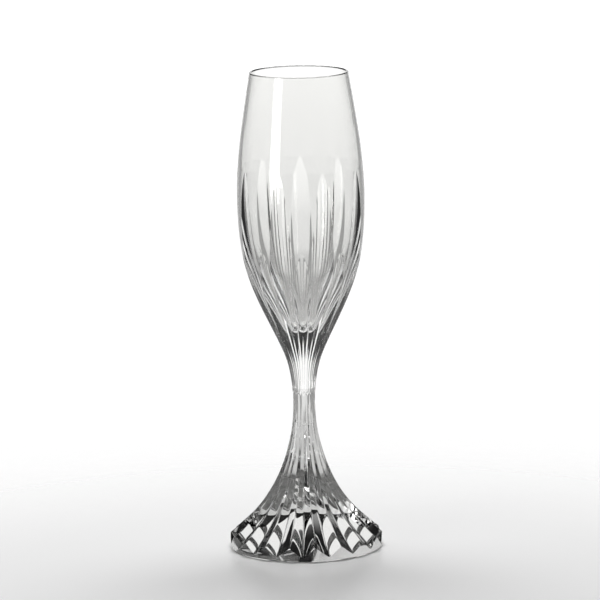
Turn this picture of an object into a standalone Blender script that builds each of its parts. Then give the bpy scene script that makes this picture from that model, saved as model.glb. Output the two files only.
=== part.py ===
"""Champagne flute of cut lead crystal.

Three pieces of glass stand one on the other: a trumpet foot with V grooves, a short
solid stem, and a blown bowl whose wheel cuts run down into the stem. The glass stands
on the XY plane with its axis on Z. Lengths are in metres and angles in radians.
"""

from math import cos, pi, radians, sin, sqrt, tan

import bmesh
import bpy
import numpy as np

MM = 0.001

# Heights of the joints, and the gap that is left between two touching pieces.
FOOT_TOP = 71 * MM
STEM_TOP = 90 * MM
GAP = 0.3 * MM

# The outer outline of bowl and stem, and the ridges of the foot: control points of
# smooth curves, as radius and height.
BOWL_OUTLINE = (
    (22.2 * MM, 216 * MM),
    (24.8 * MM, 200 * MM),
    (28.5 * MM, 178 * MM),
    (29.1 * MM, 152 * MM),
    (26.4 * MM, 128 * MM),
    (18.1 * MM, 108 * MM),
    (9.7 * MM, 92 * MM),
    (5.15 * MM, 80 * MM),
    (4.95 * MM, 66 * MM),
)
FOOT_RIDGE = (
    (5.0 * MM, 74 * MM),
    (4.6 * MM, 60 * MM),
    (6.6 * MM, 48 * MM),
    (11.1 * MM, 34 * MM),
    (18.6 * MM, 21 * MM),
    (25.9 * MM, 13 * MM),
    (39.4 * MM, 2.2 * MM),
)
CAVITY_OUTLINE = (
    (0 * MM, 101 * MM),
    (4.4 * MM, 101 * MM),
    (8.2 * MM, 108 * MM),
    (17.8 * MM, 119.5 * MM),
    (24.1 * MM, 133 * MM),
    (27.25 * MM, 153 * MM),
    (26.9 * MM, 178 * MM),
    (23.4 * MM, 200 * MM),
    (21.0 * MM, 215.4 * MM),
)
RIM_TOP = 216 * MM
RIM_ROUND = 0.6 * MM

# The wheel cuts of the bowl: tall and short ones take turns round the glass.
CUTS = 18
PITCH = 2 * pi / CUTS
TALL_TIP = 173.5 * MM
SHORT_TIP = 138 * MM
TIP_FULLNESS = 0.81 * MM
WHEEL_ROUND = 0.44
ARRIS = 0.12 * MM
CROWDING = radians(1.5)

# The foot: a round band that stands on the table, under grooves of a V wheel. The grooves
# are full up to a height, and from there they grow shallow towards the joint.
BAND_RADIUS = 34.3 * MM
GROOVE_ANGLE = radians(122)
GROOVE_FULL = 42 * MM
GROOVE_LEAST = 0.5
FOOT_TURN = radians(-3)
EDGE_BREAK = 0.4 * MM

CURVE_STEPS = 600
BOWL_RINGS = 22
CAVITY_RINGS = 20
LIP_TURNS = (radians(45), radians(90), radians(135))
STEM_RINGS = 4
FOOT_RINGS = 14
TALL_COLUMNS = 3
SHORT_COLUMNS = 2
FLANK_COLUMNS = 3
SHARP_ANGLE = radians(14)

CRYSTAL = (0.93, 0.94, 0.94)


def smooth_curve(controls, steps=CURVE_STEPS):
    """Points along the cubic B-spline that starts and ends at its outer controls."""
    controls = np.array(controls)
    order = 3
    spans = len(controls) - order
    knots = np.concatenate([np.zeros(order), np.arange(spans + 1), np.full(order, spans)])
    t = np.linspace(0, spans, steps)
    t[-1] -= 1e-9
    weights = [((t >= a) & (t < b)).astype(float) for a, b in zip(knots, knots[1:])]
    for degree in range(1, order + 1):
        raised = []
        for i in range(len(weights) - 1):
            term = np.zeros(steps)
            rise = knots[i + degree] - knots[i]
            fall = knots[i + degree + 1] - knots[i + 1]
            if rise > 0:
                term += (t - knots[i]) / rise * weights[i]
            if fall > 0:
                term += (knots[i + degree + 1] - t) / fall * weights[i + 1]
            raised.append(term)
        weights = raised
    return np.array(weights).T @ controls


def radius_at(curve, z):
    """Radius of an outline at a height, for an outline that rises or falls all the way."""
    order = np.argsort(curve[:, 1])
    return float(np.interp(z, curve[order, 1], curve[order, 0]))


def ring_point(radius, angle, z):
    """A point at an angle from the front of the glass, which faces -Y."""
    return (radius * sin(angle), -radius * cos(angle), z)


def soft_least(a, b):
    """The lesser of two angles, with a soft passage from one to the other; never below 0."""
    return max((a + b - sqrt((a - b) ** 2 + CROWDING**2)) / 2, 0)


def cut_half_widths(radius, z):
    """Half widths, as angles, of a tall and a short cut where they meet the outline."""
    tall = sqrt(TIP_FULLNESS * max(TALL_TIP - z, 0)) / radius
    short = soft_least(sqrt(TIP_FULLNESS * max(SHORT_TIP - z, 0)) / radius, PITCH / 2)
    return soft_least(tall, PITCH - short), short


def hollow(radius, half, angle):
    """Radius inside a cut whose round wheel leaves the outline at plus and minus half."""
    wheel = WHEEL_ROUND * radius
    centre = radius * cos(half) + sqrt(wheel**2 - (radius * sin(half)) ** 2)
    return centre * cos(angle) - sqrt(wheel**2 - (centre * sin(angle)) ** 2)


def cut_ring(radius, z):
    """One closed ring round the cut glass, with a column of points along every edge."""
    tall, short = cut_half_widths(radius, z)
    least = ARRIS / radius
    tall_columns = max(tall, min(sqrt(TIP_FULLNESS * abs(z - TALL_TIP)) / radius, PITCH / 2), least)
    tall_columns = min(tall_columns, PITCH - least - short)
    short_columns = max(short, min(PITCH / 4, PITCH - tall_columns - least), least)
    short_columns = min(short_columns, PITCH - tall_columns - least / 2)
    quarter = [tall_columns * i / TALL_COLUMNS for i in range(TALL_COLUMNS + 1)]
    quarter += [PITCH - short_columns * i / SHORT_COLUMNS for i in range(SHORT_COLUMNS, -1, -1)]
    angles = quarter + [2 * PITCH - a for a in quarter[-2:0:-1]]
    ring = []
    for pair in range(CUTS // 2):
        for angle in angles:
            from_tall = min(angle, 2 * PITCH - angle)
            from_short = PITCH - from_tall
            reach = radius
            if from_tall < tall:
                reach = min(reach, hollow(radius, tall, from_tall))
            if from_short < short:
                reach = min(reach, hollow(radius, short, from_short))
            ring.append(ring_point(reach, PITCH + 2 * PITCH * pair + angle, z))
    return ring


def round_ring(radius, z, like):
    """A plain ring with its points at the same angles as another ring's."""
    ring = []
    for x, y, _ in like:
        stretch = radius / sqrt(x * x + y * y)
        ring.append((x * stretch, y * stretch, z))
    return ring


def foot_columns():
    """The foot's grooves, as one falling line of points for each column round it."""
    ridge = smooth_curve(FOOT_RIDGE)
    ridge = ridge[ridge[:, 1] < FOOT_TOP + 2 * MM]
    slope = np.gradient(ridge, axis=0)
    slope /= np.linalg.norm(slope, axis=1)[:, None]
    depth = ridge[:, 0] * sin(PITCH / 2) / tan(GROOVE_ANGLE / 2)
    depth *= np.interp(ridge[:, 1], (GROOVE_FULL, FOOT_TOP), (1, GROOVE_LEAST))
    groove = ridge + np.column_stack([slope[:, 1], -slope[:, 0]]) * depth[:, None]
    columns = []
    for i in range(FLANK_COLUMNS + 1):
        angle = PITCH / 2 * i / FLANK_COLUMNS
        low = np.column_stack([groove[:, 0], np.zeros(len(groove)), groove[:, 1]])
        high_x = ridge[:, 0] * cos(PITCH / 2)
        high_y = ridge[:, 0] * sin(PITCH / 2)
        high = np.column_stack([high_x, high_y, ridge[:, 1]])
        across = low[:, 0] * tan(angle)
        share = across / (high_y - (high_x - low[:, 0]) * tan(angle))
        line = low + (high - low) * share[:, None]
        column = np.column_stack([np.hypot(line[:, 0], line[:, 1]), line[:, 2]])
        columns.append(column)
    return columns


def trimmed(column, top, radius):
    """The part of a column from a height down to a radius, in equal steps."""
    order = np.argsort(column[:, 1])
    start = float(np.interp(top, column[order, 1], column[order, 0]))
    end = float(np.interp(radius, column[:, 0], column[:, 1]))
    inner = column[(column[:, 1] < top) & (column[:, 1] > end)]
    line = np.vstack([[start, top], inner, [radius, end]])
    run = np.concatenate([[0], np.cumsum(np.linalg.norm(np.diff(line, axis=0), axis=1))])
    even = np.linspace(0, run[-1], FOOT_RINGS)
    return np.column_stack([np.interp(even, run, line[:, 0]), np.interp(even, run, line[:, 1])])


def loft(name, rings, material, tip=None):
    """A closed body through rings of points: its ends are flat faces, or one a point."""
    mesh = bmesh.new()
    loops = [[mesh.verts.new(point) for point in ring] for ring in rings]
    for ring in loops:
        for a, b in zip(ring, ring[1:] + ring[:1]):
            mesh.edges.new((a, b))
    for lower, upper in zip(loops, loops[1:]):
        for i in range(len(lower)):
            after = (i + 1) % len(lower)
            mesh.faces.new((lower[i], lower[after], upper[after], upper[i]))
    mesh.faces.new(loops[0][::-1])
    if tip is None:
        mesh.faces.new(loops[-1])
    else:
        point = mesh.verts.new(tip)
        for a, b in zip(loops[-1], loops[-1][1:] + loops[-1][:1]):
            mesh.faces.new((a, b, point))
    bmesh.ops.recalc_face_normals(mesh, faces=mesh.faces)
    data = bpy.data.meshes.new(name)
    mesh.to_mesh(data)
    mesh.free()
    data.shade_smooth()
    data.set_sharp_from_angle(angle=SHARP_ANGLE)
    data.materials.append(material)
    body = bpy.data.objects.new(name, data)
    bpy.context.scene.collection.objects.link(body)
    return body


def crystal(name):
    """Clear lead crystal."""
    material = bpy.data.materials.new(name)
    material.use_nodes = True
    shader = material.node_tree.nodes["Principled BSDF"]
    shader.inputs["Base Color"].default_value = (*CRYSTAL, 1)
    shader.inputs["Roughness"].default_value = 0.02
    shader.inputs["Metallic"].default_value = 0
    shader.inputs["IOR"].default_value = 1.55
    shader.inputs["Transmission Weight"].default_value = 0.9
    return material


def make_bowl():
    """The blown bowl: cut outside, plain inside, with a round lip."""
    outline = smooth_curve(BOWL_OUTLINE)
    cavity = smooth_curve(CAVITY_OUTLINE)
    lip = RIM_TOP - RIM_ROUND
    heights = np.linspace(STEM_TOP + GAP / 2, lip, BOWL_RINGS)
    rings = [cut_ring(radius_at(outline, z), z) for z in heights]
    rim = rings[-1]
    outer = radius_at(outline, lip)
    inner = radius_at(cavity, lip)
    for turn in LIP_TURNS:
        radius = (outer + inner) / 2 + (outer - inner) / 2 * cos(turn)
        rings.append(round_ring(radius, lip + RIM_ROUND * sin(turn), rim))
    walls = cavity[::-1]
    rows = np.linspace(0, len(walls) - 1, CAVITY_RINGS).astype(int)
    rings += [round_ring(walls[row][0], walls[row][1], rim) for row in rows[:-1]]
    return loft("bowl", rings, crystal("bowl_crystal"), tip=(0, 0, walls[-1][1]))


def make_stem():
    """The solid stem, which carries the bowl's cuts down to the foot."""
    outline = smooth_curve(BOWL_OUTLINE)
    heights = np.linspace(FOOT_TOP + GAP / 2, STEM_TOP - GAP / 2, STEM_RINGS)
    rings = [cut_ring(radius_at(outline, z), z) for z in heights]
    return loft("stem", rings, crystal("stem_crystal"))


def make_foot():
    """The trumpet foot: V grooves that end in a zigzag on a round, flat-bottomed band."""
    top = FOOT_TOP - GAP / 2
    flank = [trimmed(column, top, BAND_RADIUS) for column in foot_columns()]
    around = flank + flank[-2:0:-1]
    angles = [PITCH / 2 * i / FLANK_COLUMNS for i in range(len(around))]
    spots = [(column, PITCH * k + a + FOOT_TURN) for k in range(CUTS) for column, a in zip(around, angles)]
    rings = [[ring_point(column[row][0], angle, column[row][1]) for column, angle in spots]
             for row in range(FOOT_RINGS - 1, -1, -1)]
    band = [ring_point(BAND_RADIUS, angle, EDGE_BREAK) for _, angle in spots]
    base = [ring_point(BAND_RADIUS - EDGE_BREAK, angle, 0) for _, angle in spots]
    return loft("foot", [base, band] + rings, crystal("foot_crystal"))


def main():
    for old in list(bpy.data.objects):
        bpy.data.objects.remove(old, do_unlink=True)
    make_foot()
    make_stem()
    make_bowl()


main()
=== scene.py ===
"""Looks of a cut-crystal champagne flute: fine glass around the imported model, and a studio.

Lengths are in metres and angles in radians. The glass stands on the XY plane, +Z up, with
its front towards -Y.
"""

from math import cos, hypot, pi, radians, sin, sqrt, tan

import bmesh
import bpy
import numpy as np
from bpy.props import FloatProperty, FloatVectorProperty, IntProperty, PointerProperty
from mathutils import Matrix, Vector


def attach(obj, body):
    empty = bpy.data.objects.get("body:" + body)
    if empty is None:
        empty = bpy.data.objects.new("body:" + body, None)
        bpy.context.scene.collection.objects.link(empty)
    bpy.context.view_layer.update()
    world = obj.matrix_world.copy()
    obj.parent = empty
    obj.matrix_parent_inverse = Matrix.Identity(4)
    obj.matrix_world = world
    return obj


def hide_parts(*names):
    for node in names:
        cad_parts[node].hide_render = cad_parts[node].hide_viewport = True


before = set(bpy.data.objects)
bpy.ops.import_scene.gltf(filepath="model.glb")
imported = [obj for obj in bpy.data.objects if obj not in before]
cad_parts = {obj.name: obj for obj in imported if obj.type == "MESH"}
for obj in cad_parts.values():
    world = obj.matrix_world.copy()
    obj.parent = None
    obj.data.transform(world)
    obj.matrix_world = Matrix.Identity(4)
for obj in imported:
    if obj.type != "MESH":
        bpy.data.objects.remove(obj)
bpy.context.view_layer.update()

bl_info = {
    "name": "Cut-crystal champagne flute",
    "version": (1, 0, 0),
    "blender": (4, 5, 0),
    "location": "View3D > Sidebar > Flute",
    "description": "Builds a cut-crystal champagne flute and its studio",
    "category": "Add Mesh",
}

MM = 0.001

# The driving shapes, as the frame has them: control points of smooth curves, as radius
# and height.
BOWL_OUTLINE = (
    (22.2 * MM, 216 * MM),
    (24.8 * MM, 200 * MM),
    (28.5 * MM, 178 * MM),
    (29.1 * MM, 152 * MM),
    (26.4 * MM, 128 * MM),
    (18.1 * MM, 108 * MM),
    (9.7 * MM, 92 * MM),
    (5.15 * MM, 80 * MM),
    (4.95 * MM, 66 * MM),
)
FOOT_RIDGE = (
    (5.0 * MM, 74 * MM),
    (4.6 * MM, 60 * MM),
    (6.6 * MM, 48 * MM),
    (11.1 * MM, 34 * MM),
    (18.6 * MM, 21 * MM),
    (25.9 * MM, 13 * MM),
    (39.4 * MM, 2.2 * MM),
)
CAVITY_OUTLINE = (
    (0 * MM, 101 * MM),
    (4.4 * MM, 101 * MM),
    (8.2 * MM, 108 * MM),
    (17.8 * MM, 119.5 * MM),
    (24.1 * MM, 133 * MM),
    (27.25 * MM, 153 * MM),
    (26.9 * MM, 178 * MM),
    (23.4 * MM, 200 * MM),
    (21.0 * MM, 215.4 * MM),
)
FOOT_TOP = 71 * MM
STEM_TOP = 90 * MM
RIM_TOP = 216 * MM
RIM_ROUND = 0.6 * MM

# The cuts of the bowl and the grooves of the foot. PITCH is the angle from one to the next,
# ARRIS the least width that a column of faces keeps, CROWDING how softly two cuts meet,
# GROOVE_FULL the height below which a groove is at its full depth, SEAM_FADE the length over
# which cuts and grooves run out at the joint, and FLANK_SHARES where the columns of faces lie
# on a groove's flank, from its bottom, 0, to its ridge, 1.
CUTS = 18
PITCH = 2 * pi / CUTS
ARRIS = 0.12 * MM
CROWDING = radians(1.5)
BAND_RADIUS = 34.3 * MM
GROOVE_FULL = 42 * MM
EDGE_BREAK = 0.4 * MM
SEAM_FADE = 0.9 * MM
FLANK_SHARES = (0, 0.03, 0.07, 0.13, 0.3, 0.5, 0.7, 0.87, 0.93, 0.97, 1)

# How finely the surfaces are made: steps of a curve, the height of a row of faces over the
# cuts, and numbers of rows and steps.
CURVE_STEPS = 6000
CUT_ROW = 0.6 * MM
PLAIN_ROWS = 40
LIP_STEPS = 12
CAVITY_ROWS = 70
STEM_ROWS = 60

# The bright sweep and the room, as heights and turns seen from the glass: the first of each
# pair is where a change begins and the second where it ends.
SWEEP_OPENS = (radians(-6), radians(0))
SWEEP_NARROWS = radians(9)
SWEEP_SIDE_FADE = radians(1.5)
SWEEP_TOP_FADE = radians(2)
FLOOR_BRIGHTENS = (radians(-32), radians(-11.5))
SWEEP_BRIGHTENS = (radians(-9.8), radians(-7.5))
SWEEP_SETTLES = (radians(-6), radians(-3.6))
SIDES_TO_FRONT = (radians(100), radians(150))
FLOOR_TO_ROOM = (radians(5), radians(15))

# The table: half its side, its place, its surface, and the distances from its middle between
# which it fades out.
TABLE_HALF = 0.6
TABLE_PLACE = (0, -80 * MM, -0.1 * MM)
TABLE_GREY = 0.7
TABLE_ROUGHNESS = 0.35
TABLE_IOR = 2.0
TABLE_FADE = (0.12, 0.32)

SENSOR_WIDTH = 36


def smooth_curve(controls, steps=CURVE_STEPS):
    """Points along the cubic B-spline that starts and ends at its outer controls."""
    controls = np.array(controls)
    order = 3
    spans = len(controls) - order
    knots = np.concatenate([np.zeros(order), np.arange(spans + 1), np.full(order, spans)])
    t = np.linspace(0, spans, steps)
    t[-1] -= 1e-9  # keeps the last point inside the last span
    weights = [((t >= a) & (t < b)).astype(float) for a, b in zip(knots, knots[1:])]
    for degree in range(1, order + 1):
        raised = []
        for i in range(len(weights) - 1):
            term = np.zeros(steps)
            rise = knots[i + degree] - knots[i]
            drop = knots[i + degree + 1] - knots[i + 1]
            if rise > 0:
                term += (t - knots[i]) / rise * weights[i]
            if drop > 0:
                term += (knots[i + degree + 1] - t) / drop * weights[i + 1]
            raised.append(term)
        weights = raised
    return np.array(weights).T @ controls


def radius_at(curve, z):
    """Radius of an outline at a height, for an outline that rises or falls all the way."""
    order = np.argsort(curve[:, 1])
    return float(np.interp(z, curve[order, 1], curve[order, 0]))


def ring_point(radius, angle, z):
    """A point at an angle from the front of the glass, which faces -Y."""
    return (radius * sin(angle), -radius * cos(angle), z)


def settings():
    """The sizes and colours that the panel shows."""
    return bpy.context.scene.flute_settings


def soft_least(a, b):
    """The lesser of two angles, with a soft passage from one to the other; never below 0."""
    return max((a + b - sqrt((a - b) ** 2 + CROWDING**2)) / 2, 0)


def cut_half_widths(radius, z):
    """Half widths, as angles, of a tall and a short cut where they meet the outline."""
    p = settings().cuts
    tall = sqrt(p.fullness * max(p.tall_tip - z, 0)) / radius
    short = soft_least(sqrt(p.fullness * max(p.short_tip - z, 0)) / radius, PITCH / 2)
    return soft_least(tall, PITCH - short), short


def hollow(radius, half, angle):
    """Radius inside a cut whose round wheel leaves the outline at plus and minus half."""
    wheel = settings().cuts.wheel * radius
    centre = radius * cos(half) + sqrt(wheel**2 - (radius * sin(half)) ** 2)
    return centre * cos(angle) - sqrt(wheel**2 - (centre * sin(angle)) ** 2)


def cut_ring(radius, z, strength=1.0):
    """One closed ring round the cut glass, with a column of points along every edge."""
    p = settings().cuts
    tall, short = cut_half_widths(radius, z)
    least = ARRIS / radius
    tip_spread = sqrt(p.fullness * abs(z - p.tall_tip)) / radius
    tall_columns = min(max(tall, min(tip_spread, PITCH / 2), least), PITCH - least - short)
    short_columns = max(short, min(PITCH / 4, PITCH - tall_columns - least), least)
    short_columns = min(short_columns, PITCH - tall_columns - least / 2)
    quarter = [tall_columns * i / p.tall_columns for i in range(p.tall_columns + 1)]
    land = PITCH - tall_columns - short_columns
    quarter += [tall_columns + land * i / p.land_columns for i in range(1, p.land_columns)]
    short_steps = range(p.short_columns, -1, -1)
    quarter += [PITCH - short_columns * i / p.short_columns for i in short_steps]
    depths = []
    for angle in quarter:
        reach = radius
        if angle < tall:
            reach = min(reach, hollow(radius, tall, angle))
        if PITCH - angle < short:
            reach = min(reach, hollow(radius, short, PITCH - angle))
        depths.append(radius + (reach - radius) * strength)
    angles = quarter + [2 * PITCH - a for a in quarter[-2:0:-1]]
    reaches = depths + depths[-2:0:-1]
    ring = []
    for pair in range(CUTS // 2):
        turn = PITCH + 2 * PITCH * pair
        ring += [ring_point(reach, turn + angle, z) for reach, angle in zip(reaches, angles)]
    return ring


def round_ring(radius, z, like):
    """A plain ring with its points at the same angles as another ring's."""
    ring = []
    for x, y, _ in like:
        stretch = radius / sqrt(x * x + y * y)
        ring.append((x * stretch, y * stretch, z))
    return ring


def foot_column(share):
    """One falling line of points on a groove's flank, from its bottom, 0, to its ridge, 1."""
    p = settings().foot
    ridge = smooth_curve(FOOT_RIDGE)
    ridge = ridge[ridge[:, 1] < FOOT_TOP + 2 * MM]
    slope = np.gradient(ridge, axis=0)
    slope /= np.linalg.norm(slope, axis=1)[:, None]
    depth = ridge[:, 0] * sin(PITCH / 2) / tan(p.groove_angle / 2)
    depth *= np.interp(ridge[:, 1], (GROOVE_FULL, FOOT_TOP), (1, p.groove_least))
    depth *= np.clip((FOOT_TOP - ridge[:, 1]) / SEAM_FADE, 0, 1)
    groove = ridge + np.column_stack([slope[:, 1], -slope[:, 0]]) * depth[:, None]
    angle = PITCH / 2 * share
    low = np.column_stack([groove[:, 0], np.zeros(len(groove)), groove[:, 1]])
    high_x = ridge[:, 0] * cos(PITCH / 2)
    high_y = ridge[:, 0] * sin(PITCH / 2)
    high = np.column_stack([high_x, high_y, ridge[:, 1]])
    across = low[:, 0] * tan(angle)
    part = across / (high_y - (high_x - low[:, 0]) * tan(angle))
    line = low + (high - low) * part[:, None]
    column = np.column_stack([np.hypot(line[:, 0], line[:, 1]), line[:, 2]])
    soft = hypot(share, p.polish) - hypot(1 - share, p.polish) + 1 - share
    return column + (ridge - groove) * (soft - share)


def trimmed(column, top, radius, rings):
    """The part of a column from a height down to a radius, in equal steps."""
    order = np.argsort(column[:, 1])
    start = float(np.interp(top, column[order, 1], column[order, 0]))
    end = float(np.interp(radius, column[:, 0], column[:, 1]))
    inner = column[(column[:, 1] < top) & (column[:, 1] > end)]
    line = np.vstack([[start, top], inner, [radius, end]])
    run = np.concatenate([[0], np.cumsum(np.linalg.norm(np.diff(line, axis=0), axis=1))])
    even = np.linspace(0, run[-1], rings)
    return np.column_stack([np.interp(even, run, line[:, 0]), np.interp(even, run, line[:, 1])])


def loft(name, rings, materials, sharp, tip=None, joint_faces=("low",)):
    """A closed body through rings of points: its ends are flat faces, or one a point."""
    mesh = bmesh.new()
    loops = [[mesh.verts.new(point) for point in ring] for ring in rings]
    for lower, upper in zip(loops, loops[1:]):
        for i in range(len(lower)):
            after = (i + 1) % len(lower)
            mesh.faces.new((lower[i], lower[after], upper[after], upper[i]))
    low_cap = mesh.faces.new(loops[0][::-1])
    low_cap.material_index = 1 if "low" in joint_faces else 0
    if tip is None:
        high_cap = mesh.faces.new(loops[-1])
        high_cap.material_index = 1 if "high" in joint_faces else 0
    else:
        point = mesh.verts.new(tip)
        for a, b in zip(loops[-1], loops[-1][1:] + loops[-1][:1]):
            mesh.faces.new((a, b, point))
    bmesh.ops.recalc_face_normals(mesh, faces=mesh.faces)
    data = bpy.data.meshes.new(name)
    mesh.to_mesh(data)
    mesh.free()
    data.shade_smooth()
    data.set_sharp_from_angle(angle=sharp)
    for material in materials:
        data.materials.append(material)
    body = bpy.data.objects.new(name, data)
    bpy.context.scene.collection.objects.link(body)
    return body


def crystal_material(name, colour):
    """Clear lead crystal, whose polished skin carries faint waves."""
    look = settings().glass
    material = bpy.data.materials.new(name)
    material.use_nodes = True
    nodes = material.node_tree.nodes
    links = material.node_tree.links
    shader = nodes["Principled BSDF"]
    shader.inputs["Base Color"].default_value = (*colour, 1)
    shader.inputs["IOR"].default_value = look.ior
    shader.inputs["Transmission Weight"].default_value = 1.0
    shader.inputs["Roughness"].default_value = 0.0
    place = nodes.new("ShaderNodeTexCoord")
    waves = nodes.new("ShaderNodeTexNoise")
    waves.inputs["Scale"].default_value = look.wave_scale
    waves.inputs["Detail"].default_value = 1.0
    bump = nodes.new("ShaderNodeBump")
    bump.inputs["Strength"].default_value = 1.0
    bump.inputs["Distance"].default_value = look.wave_height
    links.new(place.outputs["Object"], waves.inputs["Vector"])
    links.new(waves.outputs["Fac"], bump.inputs["Height"])
    links.new(bump.outputs["Normal"], shader.inputs["Normal"])
    return material


def fused_material():
    """The inside of a hot joint, where two pieces have melted into one, shared by them all."""
    made = bpy.data.materials.get("fused_joint")
    if made:
        return made
    material = bpy.data.materials.new("fused_joint")
    material.use_nodes = True
    nodes = material.node_tree.nodes
    nodes.remove(nodes["Principled BSDF"])
    clear = nodes.new("ShaderNodeBsdfTransparent")
    material.node_tree.links.new(clear.outputs["BSDF"], nodes["Material Output"].inputs["Surface"])
    return material


class CutSettings(bpy.types.PropertyGroup):
    """The wheel cuts of bowl and stem."""

    tall_tip: FloatProperty(
        name="Tall tip", description="Height of the tall cuts' tips",
        default=173.5 * MM, unit="LENGTH",
    )
    short_tip: FloatProperty(
        name="Short tip", description="Height of the short cuts' tips",
        default=138 * MM, unit="LENGTH",
    )
    fullness: FloatProperty(
        name="Fullness", description="Square of a cut's half width over the length below its tip",
        default=0.81 * MM, precision=5, unit="LENGTH",
    )
    wheel: FloatProperty(
        name="Wheel", description="Radius of the wheel's round edge over the radius of the glass",
        default=0.44,
    )
    sharp: FloatProperty(
        name="Sharp", description="Faces that meet at more than this keep a crisp edge",
        default=radians(7), subtype="ANGLE",
    )
    tall_columns: IntProperty(
        name="Tall columns", description="Columns of faces over half a tall cut", default=9,
    )
    land_columns: IntProperty(
        name="Land columns", description="Columns of faces between two cuts", default=2,
    )
    short_columns: IntProperty(
        name="Short columns", description="Columns of faces over half a short cut", default=7,
    )


class FootSettings(bpy.types.PropertyGroup):
    """The grooves of the foot."""

    groove_angle: FloatProperty(
        name="Groove angle", description="Angle between the two flanks of a V groove",
        default=radians(122), subtype="ANGLE",
    )
    groove_least: FloatProperty(
        name="Least groove", description="Share of a groove's full depth that is left at the stem",
        default=0.5,
    )
    turn: FloatProperty(
        name="Turn", description="Turn of the grooves against the cuts of the bowl",
        default=radians(-3), subtype="ANGLE",
    )
    polish: FloatProperty(
        name="Polish", description="Rounding of ridge and groove, as a share of the flank",
        default=0.05,
    )
    sharp: FloatProperty(
        name="Sharp", description="Faces that meet at more than this keep a crisp edge",
        default=radians(30), subtype="ANGLE",
    )
    rings: IntProperty(name="Rings", description="Rings of faces down the foot", default=150)


class GlassSettings(bpy.types.PropertyGroup):
    """The crystal."""

    colour: FloatVectorProperty(
        name="Colour", description="What the crystal lets through", size=3, subtype="COLOR",
        default=(0.91, 0.91, 0.90), min=0, max=1,
    )
    foot_colour: FloatVectorProperty(
        name="Foot colour", description="What the thick crystal of the foot lets through", size=3,
        subtype="COLOR", default=(0.78, 0.78, 0.77), min=0, max=1,
    )
    ior: FloatProperty(name="IOR", description="Refractive index of lead crystal", default=1.545)
    wave_height: FloatProperty(
        name="Wave height", description="Height of the faint waves in the polished skin",
        default=0.02 * MM, unit="LENGTH",
    )
    wave_scale: FloatProperty(name="Wave scale", description="Waves to the metre", default=60)


class StudioSettings(bpy.types.PropertyGroup):
    """The camera, the lights and the table."""

    distance: FloatProperty(
        name="Distance", description="Camera to glass, along the table",
        default=1.96, unit="LENGTH",
    )
    height: FloatProperty(
        name="Height", description="Camera over the table",
        default=0.467, unit="LENGTH",
    )
    shift: FloatProperty(
        name="Shift", description="Camera to the side of the glass",
        default=-1.1 * MM, unit="LENGTH",
    )
    aim: FloatProperty(
        name="Aim", description="Height that the camera looks at",
        default=112.7 * MM, unit="LENGTH",
    )
    lens: FloatProperty(name="Lens", description="Focal length", default=266.3, unit="CAMERA")
    roll: FloatProperty(
        name="Roll", description="Turn of the camera on its own axis",
        default=radians(-0.97), subtype="ANGLE",
    )
    sweep_foot: FloatProperty(
        name="Sweep foot", description="Half width of the bright sweep below, seen from the glass",
        default=radians(17), subtype="ANGLE",
    )
    sweep_width: FloatProperty(
        name="Sweep width", description="Half width of the bright sweep higher up",
        default=radians(25), subtype="ANGLE",
    )
    sweep_top: FloatProperty(
        name="Sweep top", description="Height of the bright sweep, seen from the glass",
        default=radians(19), subtype="ANGLE",
    )
    sweep_peak: FloatProperty(
        name="Sweep peak", description="Half width of the sweep at its top, seen from the glass",
        default=radians(7), subtype="ANGLE",
    )
    sweep_low: FloatProperty(
        name="Sweep low", description="Light of the sweep's foot", default=1.02,
    )
    sweep_high: FloatProperty(name="Sweep high", description="Light of the sweep", default=1.28)
    sweep_back: FloatProperty(
        name="Sweep back", description="Share of the light that the upper sweep keeps",
        default=0.9,
    )
    floor_glow: FloatProperty(name="Floor", description="Light of the floor around", default=0.4)
    side_glow: FloatProperty(name="Sides", description="Light of the dark sides", default=0.015)
    front_glow: FloatProperty(name="Front", description="Light of the dim front", default=0.12)


class FluteSettings(bpy.types.PropertyGroup):
    """Everything that a user would change."""

    cuts: PointerProperty(type=CutSettings)
    foot: PointerProperty(type=FootSettings)
    glass: PointerProperty(type=GlassSettings)
    studio: PointerProperty(type=StudioSettings)


class FLUTE_OT_bowl(bpy.types.Operator):
    """Build the cut bowl"""

    bl_idname = "flute.bowl"
    bl_label = "Bowl"

    def execute(self, context):
        outline = smooth_curve(BOWL_OUTLINE)
        cavity = smooth_curve(CAVITY_OUTLINE)
        lip = RIM_TOP - RIM_ROUND
        p = settings().cuts
        cut_rows = np.arange(STEM_TOP, p.tall_tip, CUT_ROW)
        plain_rows = np.linspace(p.tall_tip, lip, PLAIN_ROWS)
        heights = np.concatenate([cut_rows, plain_rows])
        rings = [cut_ring(radius_at(outline, z), z) for z in heights]
        rim = rings[-1]
        outer = radius_at(outline, lip)
        inner = radius_at(cavity, lip)
        middle = (outer + inner) / 2
        for step in range(1, LIP_STEPS):
            turn = pi * step / LIP_STEPS
            radius = middle + (outer - inner) / 2 * cos(turn)
            rings.append(round_ring(radius, lip + RIM_ROUND * sin(turn), rim))
        walls = cavity[::-1]
        rows = np.linspace(0, len(walls) - 1, CAVITY_ROWS).astype(int)
        rings += [round_ring(walls[row][0], walls[row][1], rim) for row in rows[:-1]]
        crystal = crystal_material("bowl_crystal", settings().glass.colour)
        materials = (crystal, fused_material())
        bowl = loft("crystal_bowl", rings, materials, p.sharp, tip=(0, 0, walls[-1][1]))
        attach(bowl, "root")
        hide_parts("bowl")
        return {"FINISHED"}


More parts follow.
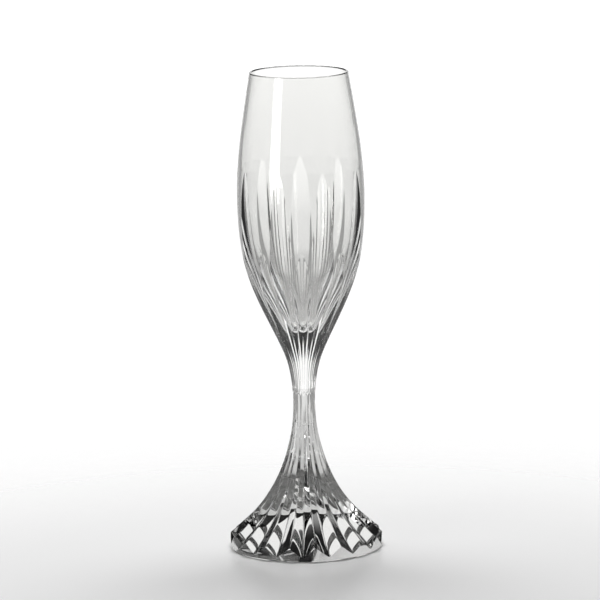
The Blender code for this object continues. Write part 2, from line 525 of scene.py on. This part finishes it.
class FLUTE_OT_stem(bpy.types.Operator):
    """Build the solid stem"""

    bl_idname = "flute.stem"
    bl_label = "Stem"

    def execute(self, context):
        outline = smooth_curve(BOWL_OUTLINE)
        rings = []
        for z in np.linspace(FOOT_TOP, STEM_TOP, STEM_ROWS):
            fade = min((z - FOOT_TOP) / SEAM_FADE, 1.0)
            rings.append(cut_ring(radius_at(outline, z), z, strength=fade))
        crystal = crystal_material("stem_crystal", settings().glass.colour)
        materials = (crystal, fused_material())
        sharp = settings().cuts.sharp
        stem = loft("crystal_stem", rings, materials, sharp, joint_faces=("low", "high"))
        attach(stem, "root")
        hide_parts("stem")
        return {"FINISHED"}


class FLUTE_OT_foot(bpy.types.Operator):
    """Build the grooved foot"""

    bl_idname = "flute.foot"
    bl_label = "Foot"

    def execute(self, context):
        p = settings().foot
        flank = []
        for share in FLANK_SHARES:
            column = trimmed(foot_column(share), FOOT_TOP, BAND_RADIUS, p.rings)
            flank.append((share, column))
        around = flank + [(2 - share, column) for share, column in flank[-2:0:-1]]
        spots = []
        for groove in range(CUTS):
            for share, column in around:
                spots.append((column, PITCH * groove + PITCH / 2 * share + p.turn))
        base = [ring_point(BAND_RADIUS - EDGE_BREAK, angle, 0) for _, angle in spots]
        band = [ring_point(BAND_RADIUS, angle, EDGE_BREAK) for _, angle in spots]
        rings = [base, band]
        for row in range(p.rings - 1, -1, -1):
            ring = []
            for column, angle in spots:
                radius, z = column[row]
                ring.append(ring_point(radius, angle, z))
            rings.append(ring)
        crystal = crystal_material("foot_crystal", settings().glass.foot_colour)
        materials = (crystal, fused_material())
        foot = loft("crystal_foot", rings, materials, p.sharp, joint_faces=("high",))
        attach(foot, "root")
        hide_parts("foot")
        return {"FINISHED"}


def chain(tree, kind, *sources, **choices):
    """A new shader node with each source linked, or set, to its input in turn; None skips one."""
    node = tree.nodes.new(kind)
    for name, value in choices.items():
        setattr(node, name, value)
    for socket, source in zip(node.inputs, sources):
        if isinstance(source, bpy.types.NodeSocket):
            tree.links.new(source, socket)
        elif source is not None:
            socket.default_value = source
    return node.outputs[0]


def passage(tree, value, start, end, first=1.0, last=0.0, shape="SMOOTHSTEP"):
    """A value that goes from first to last while another one goes from start to end."""
    ends = (start, end, first, last)
    return chain(tree, "ShaderNodeMapRange", value, *ends, interpolation_type=shape)


def studio_world():
    """A bright sweep behind the glass, with dark sides, a dark ceiling and a dim front."""
    p = settings().studio
    world = bpy.data.worlds.new("studio")
    bpy.context.scene.world = world
    world.use_nodes = True
    tree = world.node_tree
    tree.nodes.clear()
    place = tree.nodes.new("ShaderNodeTexCoord")
    split = tree.nodes.new("ShaderNodeSeparateXYZ")
    tree.links.new(place.outputs["Generated"], split.inputs[0])
    x, y, z = split.outputs
    turn = chain(tree, "ShaderNodeMath", x, y, operation="ARCTAN2")
    turn = chain(tree, "ShaderNodeMath", turn, operation="ABSOLUTE")
    rise = chain(tree, "ShaderNodeMath", z, operation="ARCSINE")
    widens = passage(tree, rise, *SWEEP_OPENS, p.sweep_foot, p.sweep_width)
    widths = (p.sweep_width, p.sweep_peak)
    narrows = passage(tree, rise, SWEEP_NARROWS, p.sweep_top, *widths, shape="LINEAR")
    reach = chain(tree, "ShaderNodeMath", widens, narrows, operation="MINIMUM")
    past = chain(tree, "ShaderNodeMath", turn, reach, operation="SUBTRACT")
    beside = passage(tree, past, 0.0, SWEEP_SIDE_FADE)
    below = passage(tree, rise, p.sweep_top, p.sweep_top + SWEEP_TOP_FADE)
    sweep = chain(tree, "ShaderNodeMath", beside, below, operation="MULTIPLY")
    near = passage(tree, rise, *FLOOR_BRIGHTENS, p.floor_glow, 1.0, shape="LINEAR")
    far = passage(tree, rise, *SWEEP_BRIGHTENS, p.sweep_low, p.sweep_high, shape="LINEAR")
    back = passage(tree, rise, *SWEEP_SETTLES, 1.0, p.sweep_back)
    glow = chain(tree, "ShaderNodeMath", near, far, operation="MULTIPLY")
    glow = chain(tree, "ShaderNodeMath", glow, back, operation="MULTIPLY")
    upper = passage(tree, turn, *SIDES_TO_FRONT, p.side_glow, p.front_glow)
    low = passage(tree, rise, *FLOOR_TO_ROOM)
    room = chain(tree, "ShaderNodeMix", low, None, upper, p.floor_glow)
    light = chain(tree, "ShaderNodeMix", sweep, None, room, glow)
    background = tree.nodes.new("ShaderNodeBackground")
    tree.links.new(light, background.inputs["Color"])
    output = tree.nodes.new("ShaderNodeOutputWorld")
    tree.links.new(background.outputs[0], output.inputs["Surface"])


def table():
    """A pale table that fades into the sweep all round, before it reaches its edge."""
    mesh = bmesh.new()
    bmesh.ops.create_grid(mesh, x_segments=1, y_segments=1, size=TABLE_HALF)
    data = bpy.data.meshes.new("table")
    mesh.to_mesh(data)
    mesh.free()
    top = bpy.data.objects.new("table", data)
    top.location = TABLE_PLACE
    bpy.context.scene.collection.objects.link(top)
    material = bpy.data.materials.new("pale_table")
    material.use_nodes = True
    nodes = material.node_tree.nodes
    links = material.node_tree.links
    shader = nodes["Principled BSDF"]
    shader.inputs["Base Color"].default_value = (TABLE_GREY, TABLE_GREY, TABLE_GREY, 1)
    shader.inputs["Roughness"].default_value = TABLE_ROUGHNESS
    shader.inputs["IOR"].default_value = TABLE_IOR
    place = nodes.new("ShaderNodeTexCoord")
    length = nodes.new("ShaderNodeVectorMath")
    length.operation = "LENGTH"
    links.new(place.outputs["Object"], length.inputs[0])
    fade = nodes.new("ShaderNodeMapRange")
    fade.interpolation_type = "SMOOTHSTEP"
    fade.inputs["From Min"].default_value = TABLE_FADE[0]
    fade.inputs["From Max"].default_value = TABLE_FADE[1]
    links.new(length.outputs["Value"], fade.inputs["Value"])
    clear = nodes.new("ShaderNodeBsdfTransparent")
    mix = nodes.new("ShaderNodeMixShader")
    links.new(fade.outputs["Result"], mix.inputs["Fac"])
    links.new(shader.outputs["BSDF"], mix.inputs[1])
    links.new(clear.outputs["BSDF"], mix.inputs[2])
    links.new(mix.outputs[0], nodes["Material Output"].inputs["Surface"])
    data.materials.append(material)


def softbox(name, place, aim, width, height, power, shows=True):
    """A rectangular studio light, which can be kept out of reflections and of the glass."""
    lamp = bpy.data.lights.new(name, "AREA")
    lamp.shape = "RECTANGLE"
    lamp.size = width
    lamp.size_y = height
    lamp.energy = power
    body = bpy.data.objects.new(name, lamp)
    body.location = place
    body.rotation_euler = (Vector(aim) - Vector(place)).to_track_quat("-Z", "Y").to_euler()
    body.visible_glossy = shows
    body.visible_transmission = shows
    bpy.context.scene.collection.objects.link(body)


class FLUTE_OT_stage(bpy.types.Operator):
    """Set up the camera, the lights and the table"""

    bl_idname = "flute.stage"
    bl_label = "Stage"

    def execute(self, context):
        p = settings().studio
        scene = context.scene
        camera = bpy.data.cameras.new("camera")
        camera.lens = p.lens
        camera.sensor_width = SENSOR_WIDTH
        eye = bpy.data.objects.new("camera", camera)
        eye.location = (p.shift, -p.distance, p.height)
        aim = Vector((p.shift, 0, p.aim)) - eye.location
        turn = aim.to_track_quat("-Z", "Y").to_matrix()
        eye.rotation_euler = (turn @ Matrix.Rotation(p.roll, 3, "Z")).to_euler()
        scene.collection.objects.link(eye)
        scene.camera = eye
        scene.view_settings.view_transform = "Standard"
        studio_world()
        table()
        above = {"place": (0, 0.4, 1.0), "aim": (0, 0, 0.05), "width": 0.9, "height": 0.5}
        softbox("top_light", **above, power=7.5)
        softbox("table_light", **above, power=8.4, shows=False)
        left = {"place": (-0.79, -0.71, 0.21), "aim": (0, 0, 0.12), "width": 0.36, "height": 0.42}
        softbox("left_window", **left, power=2.4)
        return {"FINISHED"}


class FLUTE_PT_panel(bpy.types.Panel):
    """Lists the pieces of the flute"""

    bl_idname = "FLUTE_PT_panel"
    bl_label = "Champagne flute"
    bl_space_type = "VIEW_3D"
    bl_region_type = "UI"
    bl_category = "Flute"

    def draw(self, context):
        for step in STEPS:
            self.layout.operator(step.bl_idname)
        for group in (settings().cuts, settings().foot, settings().glass, settings().studio):
            box = self.layout.box()
            for name in group.bl_rna.properties.keys():
                if name not in ("rna_type", "name"):
                    box.prop(group, name)


STEPS = (FLUTE_OT_bowl, FLUTE_OT_stem, FLUTE_OT_foot, FLUTE_OT_stage)
CLASSES = (CutSettings, FootSettings, GlassSettings, StudioSettings, FluteSettings) + STEPS
CLASSES += (FLUTE_PT_panel,)


def register():
    for entry in CLASSES:
        bpy.utils.register_class(entry)
    bpy.types.Scene.flute_settings = PointerProperty(type=FluteSettings)


def unregister():
    del bpy.types.Scene.flute_settings
    for entry in reversed(CLASSES):
        bpy.utils.unregister_class(entry)


def main():
    register()
    bpy.ops.flute.bowl()
    bpy.ops.flute.stem()
    bpy.ops.flute.foot()
    bpy.ops.flute.stage()


if __name__ == "__main__":
    main()
